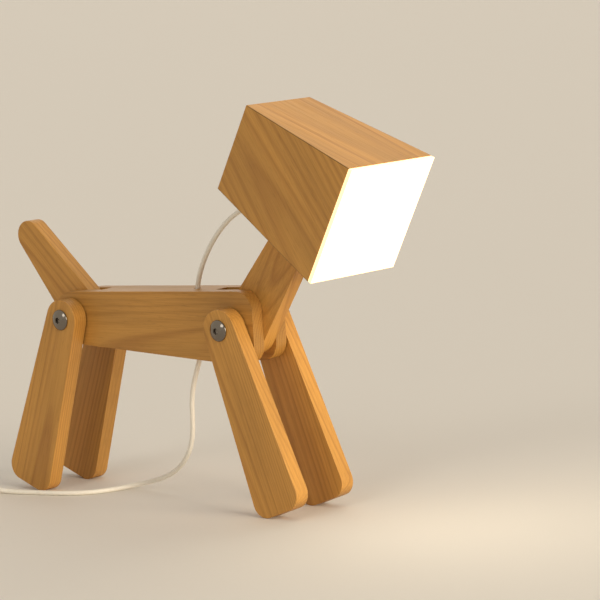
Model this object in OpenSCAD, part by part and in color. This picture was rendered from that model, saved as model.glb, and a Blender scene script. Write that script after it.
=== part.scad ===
// Table lamp in the shape of a dog: planks that turn on two axles, a tapered box for a head
// and a cord that runs from the head through the torso to the table.
// The dog looks along +X, its left side is +Y, and the table is at z = 0.

/* [Planks] */
// Thickness of the legs, the neck and the tail
plank_t = 12; // [9:0.5:16]
// Clearance at each face of a plank in its slot
slot_gap = 0.2; // [0.1:0.05:0.4]
// Gap between flat faces that turn on each other
slide_gap = 0.15; // [0.1:0.05:0.3]

/* [Legs] */
// Length of a leg from its axle to the end of its foot
leg_len = 133; // [120:1:150]
// Radius of a leg's round top
leg_top_r = 14.5; // [12:0.5:17]
// Width of a leg at its foot
leg_foot_w = 42; // [36:1:48]
// Radius of a foot's two corners
leg_corner_r = 11; // [6:0.5:15]
// Angle of each leg from upright, front legs forward and rear legs backward
leg_lean = 20.5; // [12:0.5:28]

/* [Tail] */
// Length of the tail from its axle to the middle of its round tip
tail_len = 78; // [60:1:95]
// Radius of the tail's end on the axle
tail_base_r = 18.5; // [15:0.5:18.5]
// Radius of the tail's tip
tail_tip_r = 11; // [8:0.5:14]
// Angle of the tail from upright, backward
tail_lean = 43; // [30:1:60]

/* [Neck] */
// Length of the neck from the front axle to the hinge of the head
neck_len = 104; // [95:1:115]
// Radius of the neck's end in the torso
neck_base_r = 19.6; // [16:0.2:21]
// Radius of the neck's end in the head
neck_top_r = 13.3; // [11:0.1:15]
// How far the neck's middle line passes in front of the front axle
neck_forward = 2.5; // [0:0.5:4]
// Angle of the neck from upright, forward
neck_lean = 37; // [25:1:45]

/* [Torso] */
// Place of the rear axle behind the origin
rear_axle_back = 116; // [100:1:130]
// Distance between the two axles
axle_span = 156; // [140:1:175]
// Thickness of each cheek of the torso
cheek_t = 10.6; // [8:0.2:14]
// Radius of the torso's rear end
torso_rear_r = 19; // [19:0.5:24]
// Height of the torso at its front end
torso_front_h = 51.6; // [46:0.2:60]
// How far the torso reaches in front of the front axle
torso_reach = 20.4; // [16:0.2:26]
// Radius of the torso's two front corners
torso_corner_r = 14; // [8:0.5:18]
// Room between the core and the ends of the neck and the tail
core_gap = 1; // [0.5:0.1:3]
// Diameter of the cord's hole through the core
core_hole_d = 5; // [4.5:0.1:7]
// Place of the cord's hole, in front of the origin
core_hole_x = -6; // [-9:1:-3]

/* [Axles] */
// Diameter of an axle barrel
axle_d = 8; // [6:0.5:10]
// Radial clearance of a turning fit
axle_fit = 0.05; // [0.02:0.01:0.1]
// Diameter of the screw that closes a barrel
screw_d = 5; // [4:0.5:5.5]
// Length of that screw under its head
screw_len = 18; // [12:1:24]
// How far a barrel stops short of the right leg's face
barrel_short = 2; // [1:0.5:4]
// Diameter of the domed heads
bolt_head_d = 15; // [12:0.5:18]
// Height of the domed heads
bolt_head_h = 3.4; // [2.5:0.1:4.5]
// Straight rim of the domed heads
bolt_rim_h = 0.8; // [0.5:0.1:1.2]
// Width of the hexagon socket across its flats
socket_w = 4; // [3:0.5:5]
// Depth of the hexagon socket
socket_depth = 1.8; // [1:0.1:2.2]
// Diameter of the washers beside the cheeks
washer_d = 22; // [18:0.5:26]
// Thickness of those washers
washer_t = 0.8; // [0.5:0.1:1.5]

/* [Head] */
// Side of the head's square front
head_front = 87; // [80:1:95]
// Side of the head's square back
head_back = 65; // [60:1:72]
// Length of the head
head_depth = 107; // [100:1:115]
// Thickness of the head's boards
head_wall = 7; // [5:0.5:8]
// Angle of the head below level
head_pitch = 28.6; // [15:0.2:40]
// Thickness of the light plate in front
diffuser_t = 3; // [2:0.5:5]
// Step of the light plate inside the edge of the boards
diffuser_step = 0.3; // [0:0.1:1]
// Place of the head's hinge in front of the head's middle
hinge_x = 3; // [0:0.5:6]
// Place of the head's hinge below the head's middle
hinge_drop = 21.5; // [19:0.5:22]
// Length of the slot for the neck
neck_slot_len = 52; // [48:1:56]
// Diameter of the hinge bolt
hinge_d = 6; // [4:0.5:8]
// Thickness of the two hinge blocks
block_t = 12; // [9:0.5:14]
// Length of the two hinge blocks
block_len = 22; // [18:1:26]
// Wood above the hinge bolt
block_top = 9; // [6:0.5:12]
// Width of the hinge bolt's hexagons across their flats
hinge_hex_w = 10; // [8:0.5:12]
// Height of the hinge bolt's hexagons
hinge_hex_h = 4.5; // [3:0.5:6]
// Diameter of the hinge washers
hinge_washer_d = 13; // [11:0.5:16]
// Thickness of the hinge washers
hinge_washer_t = 1; // [0.5:0.1:1.6]

/* [Light] */
// Place of the metal plate in front of the head's middle
plate_x = 22; // [20:1:30]
// Side of the metal plate
plate_w = 58; // [54:1:62]
// Thickness of the metal plate
plate_t = 2; // [1.5:0.5:3]
// Thickness of the two battens under the plate
batten_t = 8; // [6:0.5:10]
// Width of the two battens
batten_w = 9; // [8:0.5:10]
// Length of the two battens
batten_len = 50; // [44:1:54]
// Distance of the plate's screws from its edge
plate_screw_in = 2.6; // [2.2:0.1:3]
// Distance between two plate screws on one batten
plate_screw_span = 40; // [30:1:44]
// Diameter of the plate screws
plate_screw_d = 2.5; // [2:0.5:3]
// Diameter of the heads of the plate screws
plate_head_d = 4.6; // [4:0.2:5]
// Length of the plate screws in the wood
plate_screw_len = 6; // [4:0.5:7]
// Side of the light board
led_board_w = 46; // [40:1:48]
// Thickness of the light board and the driver board
board_t = 1.6; // [1:0.2:2]
// Number of light chips along one side
led_rows = 4; // [3:1:5]
// Distance between light chips
led_pitch = 10.5; // [8:0.5:11]
// Side of a light chip
led_w = 3.5; // [2.8:0.1:5]
// Height of a light chip
led_h = 0.8; // [0.5:0.1:1.2]
// Width of the driver board
driver_w = 30; // [24:1:36]
// Height of the driver board
driver_h = 22; // [18:1:24]
// Height of the driver board's middle above the head's middle
driver_up = 8; // [7:0.5:10]
// Thickness of the pad under the driver board
pad_t = 1; // [0.5:0.1:2]
// Side of the cord's connector on the driver board
connector_w = 8; // [6:0.5:10]
// Height of the cord's connector on the driver board
connector_h = 6; // [4:0.5:7]

/* [Cord] */
// Diameter of the cord
cord_d = 3.5; // [3:0.1:3.8]
// Distance of the cord's exit from the back of the head
exit_in = 15; // [13:0.5:18]
// Angle of the cord's exit from the head's down direction, backward
exit_lean = 36; // [30:1:42]
// Diameter of the cord's boot
boot_d = 8; // [7:0.5:9]
// Diameter of the boot's tip
boot_tip_d = 5; // [4.6:0.1:6]
// Length of the boot outside the head
boot_len = 14; // [10:1:20]
// Length of the straight part of the boot outside the head
boot_straight = 5; // [4:0.5:8]
// Length of the boot inside the head
boot_in = 12; // [10:0.5:14]
// Clearance round the boot and the cord
cord_gap = 0.1; // [0.05:0.05:0.3]
// Radius of the coil at its outermost turn
coil_r = 30; // [28:0.5:34]
// Distance between turns and between layers of the coil
coil_pitch = 4.05; // [4:0.05:4.4]
// Turns in each of the coil's two layers
coil_turns = 4.25; // [2.25:1:5.25]
// Width of the coil's tie
tie_w = 6; // [4:0.5:10]
// Thickness of the coil's tie
tie_t = 0.7; // [0.5:0.1:1]
// Room between the tie and the cord
tie_gap = 0.3; // [0.2:0.1:0.6]

/* [Switch] */
// Length of the switch on the cord
switch_len = 40; // [38:1:46]
// Width of the switch
switch_w = 16; // [15:0.5:20]
// Height of the switch's lower shell
switch_low_h = 5; // [4:0.5:6]
// Height of the switch's upper shell
switch_up_h = 5.5; // [5:0.5:7]
// Wall of the switch's shells
switch_wall = 1.5; // [1.2:0.1:2]
// Radius of the switch's corners
switch_corner_r = 5; // [3:0.5:6]
// Length of the rocker
rocker_len = 12.6; // [10:0.2:14]
// Width of the rocker
rocker_w = 7; // [5:0.5:8]
// Height of the rocker's middle above its pivot
rocker_mid_h = 3.6; // [3.4:0.1:4]
// Height of the rocker's ends above its pivot
rocker_end_h = 4.2; // [3.8:0.1:4.6]
// Angle of the rocker to each side
rocker_tilt = 8; // [5:0.5:10]
// Gap round the rocker
rocker_gap = 0.3; // [0.2:0.05:0.5]
// Height of the rocker's pivot above the joint of the shells
rocker_pivot_up = 2.4; // [2:0.1:2.6]
// Diameter of the rocker's pivot
rocker_pivot_d = 2; // [1.5:0.1:2.4]

/* [Plug] */
// Length of the plug's moulded body
plug_len = 22; // [18:1:28]
// Width of the plug's moulded body
plug_w = 16; // [14:0.5:18]
// Height of the plug's moulded body
plug_h = 9; // [8:0.5:10]
// Radius of the plug's corners
plug_corner_r = 3; // [1.5:0.5:4]
// Length of the plug's boot
plug_boot_len = 20; // [14:1:26]
// Diameter of the plug's boot where it meets the body
plug_boot_d = 7.5; // [6.5:0.5:8]
// Width of the plug's metal shell
shell_w = 12; // [11:0.5:13]
// Height of the plug's metal shell
shell_h = 4.5; // [4:0.1:5]
// Length of the plug's metal shell
shell_len = 12; // [10:0.5:14]
// Wall of the plug's metal shell
shell_wall = 0.3; // [0.2:0.05:0.5]
// Thickness of the plug's tongue
tongue_t = 1.9; // [1.4:0.1:2]

/* [Hidden] */
$fn = 64;
// Degrees of turn for each short side of a rounded outline
arc_step = 6;
// Overlap of a cut past the face that it opens
cut = 1;

// Places across the lamp, measured from its middle
slot_w = plank_t + 2 * slot_gap;
torso_half = slot_w / 2 + cheek_t;
leg_in = torso_half + washer_t + slide_gap;
leg_out = leg_in + plank_t;
bolt_seat = leg_out + slide_gap;

// Places of the axles
rear_x = -rear_axle_back;
front_x = rear_x + axle_span;
foot_run = leg_len - leg_corner_r;
foot_side = leg_foot_w / 2 - leg_corner_r;
axle_z = foot_run * cos(leg_lean) + foot_side * sin(leg_lean) + leg_corner_r;

// Outlines in the plane of the planks, as rings of round corners [x, z, radius]
leg_ring = [[0, 0, leg_top_r], [-foot_side, -foot_run, leg_corner_r], [foot_side, -foot_run, leg_corner_r]];
tail_ring = [[0, 0, tail_base_r], [0, tail_len, tail_tip_r]];
neck_ring = [[neck_forward, 0, neck_base_r], [neck_forward, neck_len, neck_top_r]];
corner_x = front_x + torso_reach - torso_corner_r;
corner_z = torso_front_h / 2 - torso_corner_r;
torso_ring = [
    [rear_x, axle_z, torso_rear_r],
    [corner_x, axle_z - corner_z, torso_corner_r],
    [corner_x, axle_z + corner_z, torso_corner_r]
];
core_rear = rear_x + tail_base_r + core_gap;
core_front = front_x - neck_base_r - neck_forward - core_gap;

// Hinge of the head, and the head's own frame: x along the head, z up, from the head's middle
head_hinge = [
    front_x + neck_forward * cos(neck_lean) + neck_len * sin(neck_lean),
    0,
    axle_z - neck_forward * sin(neck_lean) + neck_len * cos(neck_lean)
];
hinge_z = -hinge_drop;
head_end = head_depth / 2;
board_end = head_end - diffuser_t;
exit_x = exit_in - head_end;
exit_z = -head_half(exit_x);
driver_back = plate_x - pad_t - board_t;
connector_back = driver_back - connector_h;

function head_half(x) = head_back / 2 + (head_front - head_back) / 2 * (x + head_end) / head_depth;

// A point [x, z] of the head's frame in the lamp's frame
function in_lamp(x, z) = [
    head_hinge[0] + (x - hinge_x) * cos(head_pitch) + (z - hinge_z) * sin(head_pitch),
    0,
    head_hinge[2] - (x - hinge_x) * sin(head_pitch) + (z - hinge_z) * cos(head_pitch)
];

// Cord: the tip of its boot in the head's frame and in the lamp's frame
tip_x = exit_x - boot_len * sin(exit_lean);
tip_z = exit_z - boot_len * cos(exit_lean);
boot_tip = in_lamp(tip_x, tip_z);
boot_way = boot_tip - in_lamp(exit_x, exit_z);
cord_r = cord_d / 2;
// Height of the cord's middle where it lies on the table, with a little room under it
floor_z = cord_r + 0.1;
// The switch and the coil lie in line, along X
switch_x = -208;
switch_y = -54;
cord_z = switch_low_h;
coil_x = -264;
coil_z = tie_t + tie_gap + cord_r;
// Height in the torso where the upper cord meets the lower one
cord_joint_z = 140;
upper_route = [
    boot_tip,
    boot_tip + 0.35 * boot_way,
    boot_tip + 0.7 * boot_way,
    [30.5, 0, 203.5],
    [19.5, 0, 194.5],
    [10, 0, 184],
    [2.5, 0, 173],
    [-2.5, 0, 163],
    [-5.2, 0, 154.5],
    [core_hole_x, 0, 147],
    [core_hole_x, 0, cord_joint_z]
];
lower_route = [
    [core_hole_x, 0, cord_joint_z],
    [core_hole_x, 0, 126],
    [core_hole_x, 0, 112],
    [-8, 0, 102],
    [-12, 0, 92],
    [-16, 0, 81],
    [-18.2, 0, 69],
    [-18.7, 0, 57],
    [-20, 0, 45],
    [-24.5, 0.5, 34],
    [-33, 2, 24.5],
    [-45, 4.5, 16.5],
    [-58, 7, 11],
    [-70.5, 8.9, 7.2],
    [-81, 8, 4.4],
    [-89, 3.5, 2.6],
    [-94, -4.5, floor_z],
    [-97.5, -14, floor_z],
    [-103.5, -23.5, floor_z],
    [-113, -31.5, floor_z],
    [-126, -37.5, floor_z],
    [-142, -42.5, floor_z],
    [-157, -47, floor_z],
    [-167, -49.9, 2.3],
    [-175, -52.2, 3.6],
    [-182, -53.7, 4.8],
    [switch_x + switch_len / 2, switch_y, cord_z],
    [switch_x + switch_len / 2 - 5, switch_y, cord_z]
];
link_route = [
    [switch_x - switch_len / 2 + 5, switch_y, cord_z],
    [switch_x - switch_len / 2, switch_y, cord_z],
    [-234, switch_y, cord_z - 0.5],
    [-241, switch_y, coil_z + 0.85],
    [-248, switch_y, coil_z + 0.1],
    [coil_x + 3 * cord_d, switch_y, coil_z],
    [coil_x + 2 * cord_d, switch_y, coil_z],
    [coil_x + cord_d, switch_y, coil_z]
];
plug_z = plug_h / 2;
plug_x = coil_x - 28;
end_route = [
    [coil_x - cord_d, switch_y, coil_z + coil_pitch],
    [coil_x - 2 * cord_d, switch_y, coil_z + coil_pitch],
    [-275, switch_y, coil_z + coil_pitch - 0.3],
    [-280, switch_y, 5.6],
    [-284.5, switch_y, plug_z + 0.3],
    [plug_x + 4, switch_y, plug_z],
    [plug_x, switch_y, plug_z]
];
inner_route = [
    [tip_x, 0, tip_z],
    [exit_x, 0, exit_z],
    [exit_x + boot_in * sin(exit_lean), 0, exit_z + boot_in * cos(exit_lean)],
    [-23, 0, -11.5],
    [-14, 0, -1.5],
    [-5, 0, 5],
    [3, 0, driver_up - 0.4],
    [8.5, 0, driver_up],
    [connector_back, 0, driver_up]
];

// Angle of the outward normal of the line that touches two round corners from outside
function touch_angle(a, b) =
    let (d = [b[0] - a[0], b[1] - a[1]])
    atan2(d[1], d[0]) - acos((a[2] - b[2]) / norm(d));

// Outline drawn tight round a ring of round corners, listed anticlockwise
function belt(ring) = [
    for (i = [0 : len(ring) - 1])
        let (
            before = ring[(i + len(ring) - 1) % len(ring)],
            here = ring[i],
            after = ring[(i + 1) % len(ring)],
            start = touch_angle(before, here),
            sweep = (touch_angle(here, after) - start + 720) % 360,
            steps = max(1, ceil(sweep / arc_step))
        )
        for (k = [0 : steps])
            let (a = start + sweep * k / steps)
            [here[0] + here[2] * cos(a), here[1] + here[2] * sin(a)]
];

// Rectangle with round corners about the origin
function round_box(w, h, r) = belt([
    for (s = [[-1, -1], [1, -1], [1, 1], [-1, 1]]) [s[0] * (w / 2 - r), s[1] * (h / 2 - r), r]
]);

// Points of a smooth curve through a route, with a number of steps for each stretch
function smooth(p, steps) = [
    for (i = [0 : len(p) - 2])
        let (
            a = p[max(i - 1, 0)],
            b = p[i],
            c = p[i + 1],
            d = p[min(i + 2, len(p) - 1)],
            last = i == len(p) - 2 ? steps : steps - 1
        )
        for (k = [0 : last])
            let (t = k / steps)
            b + t * (c - a) / 2 + t * t * (a - 2.5 * b + 2 * c - d / 2)
                + t * t * t * (-a + 3 * b - 3 * c + d) / 2
];

function unit(v) = v / norm(v);

// Direction of a path at one of its points
function heading(p, i) = unit(p[min(i + 1, len(p) - 1)] - p[max(i - 1, 0)]);

// The part of a vector that is square to a direction, made one long
function square_to(v, d) = unit(v - (v * d) * d);

// Side directions of a path, each carried on from the one before it
function sides_of(p) = [
    for (
        i = 0, s = square_to([0, 1, 0.3], heading(p, 0));
        i < len(p);
        i = i + 1, s = i < len(p) ? square_to(s, heading(p, i)) : s
    ) s
];

// Solid tube along a path, with flat ends
module tube(p, r, n) {
    side = sides_of(p);
    rings = [
        for (i = [0 : len(p) - 1])
            let (other = cross(heading(p, i), side[i]))
            for (k = [0 : n - 1])
                p[i] + r * (cos(360 * k / n) * side[i] + sin(360 * k / n) * other)
    ];
    skin = [
        for (i = [0 : len(p) - 2])
            for (k = [0 : n - 1])
                let (a = i * n + k, b = i * n + (k + 1) % n)
                for (f = [[a, a + n, b], [b, a + n, b + n]]) f
    ];
    last = (len(p) - 1) * n;
    caps = [
        for (k = [1 : n - 2])
            for (f = [[0, k, k + 1], [last, last + k + 1, last + k]]) f
    ];
    polyhedron(points = rings, faces = concat(skin, caps));
}

// Upright slab from an outline in x and z, from y0 towards +Y
module slab(y0, t) {
    translate([0, y0 + t, 0]) rotate([90, 0, 0]) linear_extrude(height = t) children();
}

// Rod along Y
module rod_y(d, y0, y1) {
    translate([0, y0, 0]) rotate([-90, 0, 0]) cylinder(d = d, h = y1 - y0);
}

// Rod along X
module rod_x(d, x0, x1) {
    translate([x0, 0, 0]) rotate([0, 90, 0]) cylinder(d = d, h = x1 - x0);
}

// Box given by its two corners
module block(low, high) {
    translate(low) cube(high - low);
}

module axle_hole() {
    circle(d = axle_d + 2 * axle_fit);
}

// Planks

module leg(x, y0, lean) {
    color("burlywood")
    translate([x, 0, axle_z]) rotate([0, lean, 0]) slab(y0, plank_t)
        difference() {
            polygon(belt(leg_ring));
            axle_hole();
        }
}

module right_front_leg() {
    leg(front_x, -leg_out, -leg_lean);
}

module left_front_leg() {
    leg(front_x, leg_in, -leg_lean);
}

module right_rear_leg() {
    leg(rear_x, -leg_out, leg_lean);
}

module left_rear_leg() {
    leg(rear_x, leg_in, leg_lean);
}

module tail() {
    color("burlywood")
    translate([rear_x, 0, axle_z]) rotate([0, -tail_lean, 0]) slab(-plank_t / 2, plank_t)
        difference() {
            polygon(belt(tail_ring));
            axle_hole();
        }
}

module neck() {
    color("burlywood")
    translate([front_x, 0, axle_z]) rotate([0, neck_lean, 0]) slab(-plank_t / 2, plank_t)
        difference() {
            polygon(belt(neck_ring));
            axle_hole();
            translate([neck_forward, neck_len]) circle(d = hinge_d + 2 * axle_fit);
        }
}

// Torso: two cheeks on a core that leaves a slot at each end

module cheek(y0) {
    color("peru")
    slab(y0, cheek_t)
        difference() {
            polygon(belt(torso_ring));
            for (x = [rear_x, front_x]) translate([x, axle_z]) axle_hole();
        }
}

module torso_right_cheek() {
    cheek(-torso_half);
}

module torso_left_cheek() {
    cheek(slot_w / 2);
}

module torso_core() {
    color("peru")
    difference() {
        slab(-slot_w / 2, slot_w)
            intersection() {
                polygon(belt(torso_ring));
                translate([core_rear, 0]) square([core_front - core_rear, 2 * axle_z]);
            }
        translate([core_hole_x, 0, 0]) cylinder(d = core_hole_d, h = 2 * axle_z);
    }
}

// Axles: a barrel with a domed head on the left, closed by a domed screw on the right

// Domed head on the plane z = 0, with a hexagon socket
module domed_head() {
    dome_h = bolt_head_h - bolt_rim_h;
    dome_r = (bolt_head_d * bolt_head_d / 4 + dome_h * dome_h) / (2 * dome_h);
    difference() {
        intersection() {
            cylinder(d = bolt_head_d, h = bolt_head_h);
            translate([0, 0, bolt_head_h - dome_r]) sphere(r = dome_r);
        }
        translate([0, 0, bolt_head_h - socket_depth])
            cylinder(d = socket_w / cos(30), h = socket_depth + cut, $fn = 6);
    }
}

module axle_barrel(x) {
    color("silver")
    translate([x, 0, axle_z])
        difference() {
            union() {
                translate([0, bolt_seat, 0]) rotate([-90, 0, 0]) domed_head();
                rod_y(axle_d, barrel_short - leg_out, bolt_seat);
            }
            rod_y(screw_d + 2 * axle_fit, -leg_out, screw_len + cut - bolt_seat);
        }
}

module axle_screw(x) {
    color("silver")
    translate([x, 0, axle_z]) {
        translate([0, -bolt_seat, 0]) rotate([90, 0, 0]) domed_head();
        rod_y(screw_d, -bolt_seat, screw_len - bolt_seat);
    }
}

module front_axle_barrel() {
    axle_barrel(front_x);
}

module front_axle_screw() {
    axle_screw(front_x);
}

module rear_axle_barrel() {
    axle_barrel(rear_x);
}

module rear_axle_screw() {
    axle_screw(rear_x);
}

module leg_washers() {
    color("dimgray")
    for (x = [rear_x, front_x], y = [-torso_half - washer_t, torso_half])
        translate([x, 0, axle_z])
            difference() {
                rod_y(washer_d, y, y + washer_t);
                rod_y(axle_d + 2 * axle_fit, y - cut, y + washer_t + cut);
            }
}

// Head: boards of a tapered box, made in the head's own frame

module in_head() {
    translate(head_hinge) rotate([0, head_pitch, 0]) translate([-hinge_x, 0, -hinge_z]) children();
}

// Wedge between two places along the head, as far as an inset from its top and bottom
module wedge_z(x0, x1, inset) {
    slab(-head_front, 2 * head_front)
        polygon([
            [x0, inset - head_half(x0)], [x1, inset - head_half(x1)],
            [x1, head_half(x1) - inset], [x0, head_half(x0) - inset]
        ]);
}

// The same wedge, as far as an inset from the head's two sides
module wedge_y(x0, x1, inset) {
    rotate([90, 0, 0]) wedge_z(x0, x1, inset);
}

// Stretch of the tapered box with an inset on all four sides
module taper(x0, x1, inset) {
    intersection() {
        wedge_z(x0, x1, inset);
        wedge_y(x0, x1, inset);
    }
}

// The quarter of the head towards its top, between the two mitres
module top_quarter() {
    translate([-head_depth, 0, 0]) rotate([90, 0, 90]) linear_extrude(height = 2 * head_depth)
        polygon([[0, 0], [head_front, head_front], [-head_front, head_front]]);
}

// One of the four mitred boards, turned from the top towards the left by quarter turns
module mitred_board(turns) {
    rotate([-90 * turns, 0, 0])
        intersection() {
            difference() {
                taper(-head_end, board_end, 0);
                wedge_z(-head_end - cut, board_end + cut, head_wall);
            }
            top_quarter();
        }
}

module head_top_board() {
    color("tan") in_head() mitred_board(0);
}

// Frame of the cord's exit: z along the exit, into the head
module at_exit() {
    translate([exit_x, 0, exit_z]) rotate([0, exit_lean, 0]) children();
}

module head_bottom_board() {
    color("tan") in_head()
        difference() {
            mitred_board(2);
            block(
                [hinge_x - neck_slot_len / 2, -slot_w / 2 - slot_gap, -head_front],
                [hinge_x + neck_slot_len / 2, slot_w / 2 + slot_gap, 0]
            );
            at_exit() translate([0, 0, -boot_in]) cylinder(d = boot_d + 2 * cord_gap, h = 2 * boot_in + cut);
        }
}

module head_right_board() {
    color("tan") in_head() mitred_board(3);
}

module head_left_board() {
    color("tan") in_head() mitred_board(1);
}

module head_back_board() {
    color("tan") in_head() taper(-head_end, head_wall - head_end, head_wall);
}

module diffuser() {
    color("ivory") in_head() taper(board_end, head_end, diffuser_step);
}

// Hinge of the head: two blocks on the bottom board, and a bolt through them and the neck

module hinge_blocks() {
    color("tan") in_head()
        for (s = [-1, 1])
            difference() {
                intersection() {
                    taper(hinge_x - block_len / 2, hinge_x + block_len / 2, head_wall);
                    block(
                        [-head_depth, min(s * slot_w / 2, s * (slot_w / 2 + block_t)), -head_front],
                        [head_depth, max(s * slot_w / 2, s * (slot_w / 2 + block_t)), hinge_z + block_top]
                    );
                }
                translate([hinge_x, 0, hinge_z]) rod_y(hinge_d + 2 * axle_fit, -head_front, head_front);
            }
}

hinge_face = slot_w / 2 + block_t;
hinge_seat = hinge_face + hinge_washer_t;

module hinge_bolt() {
    color("silver") in_head()
        translate([hinge_x, 0, hinge_z]) {
            rod_y(hinge_d, -hinge_seat, hinge_seat + hinge_hex_h);
            translate([0, -hinge_seat, 0]) rotate([90, 0, 0])
                cylinder(d = hinge_hex_w / cos(30), h = hinge_hex_h, $fn = 6);
        }
}

module hinge_nut() {
    color("silver") in_head()
        translate([hinge_x, 0, hinge_z])
            difference() {
                translate([0, hinge_seat, 0]) rotate([-90, 0, 0])
                    cylinder(d = hinge_hex_w / cos(30), h = hinge_hex_h, $fn = 6);
                rod_y(hinge_d + 2 * axle_fit, hinge_face, hinge_seat + hinge_hex_h + cut);
            }
}

module hinge_washers() {
    color("silver") in_head()
        for (y = [-hinge_seat, hinge_face])
            translate([hinge_x, 0, hinge_z])
                difference() {
                    rod_y(hinge_washer_d, y, y + hinge_washer_t);
                    rod_y(hinge_d + 2 * axle_fit, y - cut, y + hinge_washer_t + cut);
                }
}

// Light: a metal plate on two battens carries the board of light chips and, behind, its driver

plate_front = plate_x + plate_t;
plate_screw_y = plate_w / 2 - plate_screw_in;

module plate_battens() {
    color("tan") in_head()
        difference() {
            intersection() {
                taper(plate_x - batten_t, plate_x, head_wall);
                block([-head_depth, -head_front, -batten_len / 2], [head_depth, head_front, batten_len / 2]);
            }
            batten_in = head_half(plate_x) - head_wall - batten_w;
            block([-head_depth, -batten_in, -head_front], [head_depth, batten_in, head_front]);
            plate_screw_holes(plate_x - plate_screw_len, plate_x + cut);
        }
}

module plate_screw_holes(x0, x1) {
    for (y = [-plate_screw_y, plate_screw_y], z = [-plate_screw_span / 2, plate_screw_span / 2])
        translate([0, y, z]) rod_x(plate_screw_d + 2 * axle_fit, x0, x1);
}

module light_plate() {
    color("lightgray") in_head()
        difference() {
            block([plate_x, -plate_w / 2, -plate_w / 2], [plate_front, plate_w / 2, plate_w / 2]);
            plate_screw_holes(plate_x - cut, plate_front + cut);
        }
}

module plate_screws() {
    head_h = plate_head_d / 3;
    color("silver") in_head()
        for (y = [-plate_screw_y, plate_screw_y], z = [-plate_screw_span / 2, plate_screw_span / 2])
            translate([0, y, z]) {
                rod_x(plate_screw_d, plate_x - plate_screw_len, plate_front);
                rod_x(plate_head_d, plate_front, plate_front + head_h);
            }
}

module light_board() {
    color("white") in_head()
        block(
            [plate_front, -led_board_w / 2, -led_board_w / 2],
            [plate_front + board_t, led_board_w / 2, led_board_w / 2]
        );
}

module light_chips() {
    first = -led_pitch * (led_rows - 1) / 2;
    color("khaki") in_head()
        for (i = [0 : led_rows - 1], k = [0 : led_rows - 1])
            translate([plate_front + board_t, first + i * led_pitch, first + k * led_pitch])
                translate([0, -led_w / 2, -led_w / 2]) cube([led_h, led_w, led_w]);
}

module driver_pad() {
    color("gray") in_head()
        block(
            [plate_x - pad_t, -driver_w / 2, driver_up - driver_h / 2],
            [plate_x, driver_w / 2, driver_up + driver_h / 2]
        );
}

module driver_board() {
    color("darkgreen") in_head()
        block(
            [driver_back, -driver_w / 2, driver_up - driver_h / 2],
            [plate_x - pad_t, driver_w / 2, driver_up + driver_h / 2]
        );
}

module driver_components() {
    coil_w = 6;
    coil_h = 3.5;
    can_d = 5;
    can_h = 6;
    can_y = driver_w / 2 - can_d;
    color("black") in_head() {
        block(
            [connector_back, -connector_w / 2, driver_up - connector_w / 2],
            [driver_back, connector_w / 2, driver_up + connector_w / 2]
        );
        block(
            [driver_back - coil_h, -can_y - coil_w / 2, driver_up - coil_w / 2],
            [driver_back, -can_y + coil_w / 2, driver_up + coil_w / 2]
        );
        translate([0, can_y, driver_up]) rod_x(can_d, driver_back - can_h, driver_back);
    }
}

// Cord and what is on it

module cord_boot() {
    color("ivory") in_head() at_exit()
        difference() {
            union() {
                translate([0, 0, -boot_straight]) cylinder(d = boot_d, h = boot_straight + boot_in);
                translate([0, 0, -boot_len])
                    cylinder(d1 = boot_tip_d, d2 = boot_d, h = boot_len - boot_straight);
            }
            translate([0, 0, -boot_len - cut])
                cylinder(d = cord_d + 2 * cord_gap, h = boot_len + boot_in + 2 * cut);
        }
}

module cord_inner() {
    color("ivory") in_head() tube(smooth(inner_route, 2), cord_r, 8);
}

module cord_upper() {
    color("ivory") tube(smooth(upper_route, 2), cord_r, 8);
}

module cord_lower() {
    color("ivory") tube(smooth(lower_route, 2), cord_r, 8);
}

module cord_link() {
    color("ivory") tube(smooth(link_route, 2), cord_r, 8);
}

module cord_end() {
    color("ivory") tube(smooth(end_route, 2), cord_r, 8);
}

// Coil: a layer that winds in, a half turn that climbs, and a layer that winds out
coil_steps = 24;
coil_y = switch_y + coil_r;
coil_inner_r = coil_r - coil_turns * coil_pitch;
coil_total = 2 * coil_turns + 0.5;
// How far the climbing half turn draws in, to pass clear of the turn beside it
coil_dip = 0.9;

function coil_radius(turn) =
    turn < coil_turns ? coil_r - turn * coil_pitch
    : turn < coil_turns + 0.5 ? coil_inner_r - coil_dip * sin(360 * (turn - coil_turns))
    : coil_inner_r + (turn - coil_turns - 0.5) * coil_pitch;

function coil_height(turn) =
    coil_z + coil_pitch * min(1, max(0, 2 * (turn - coil_turns)));

coil_wound = [
    for (i = [0 : round(coil_total * coil_steps)])
        let (turn = i / coil_steps, a = -90 - 360 * turn)
        [coil_x + coil_radius(turn) * cos(a), coil_y + coil_radius(turn) * sin(a), coil_height(turn)]
];
coil_path = concat(
    [coil_wound[0] + [cord_d, 0, 0]],
    coil_wound,
    [coil_wound[len(coil_wound) - 1] - [cord_d, 0, 0]]
);

// Least gap between turns of the coil, between points that are half a turn or more apart
coil_gap = min([
    for (i = [0 : len(coil_path) - 1])
        for (k = [i + coil_steps / 2 : 1 : len(coil_path) - 1])
            norm(coil_path[i] - coil_path[k])
]) - cord_d;
echo(coil_gap = coil_gap);

module cord_coil() {
    color("ivory") tube(coil_path, cord_r, 6);
}

// Strap round all turns of the coil, on its far side
module coil_tie() {
    in_x = coil_inner_r - coil_pitch - cord_r - tie_gap;
    out_x = coil_r + cord_r + tie_gap;
    top_z = coil_z + coil_pitch + cord_r + tie_gap;
    color("gray")
    translate([coil_x, coil_y, 0])
        slab(-tie_w / 2, tie_w)
            difference() {
                translate([-out_x - tie_t, 0]) square([out_x - in_x + 2 * tie_t, top_z + tie_t]);
                translate([-out_x, tie_t]) square([out_x - in_x, top_z - tie_t]);
            }
}

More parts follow.
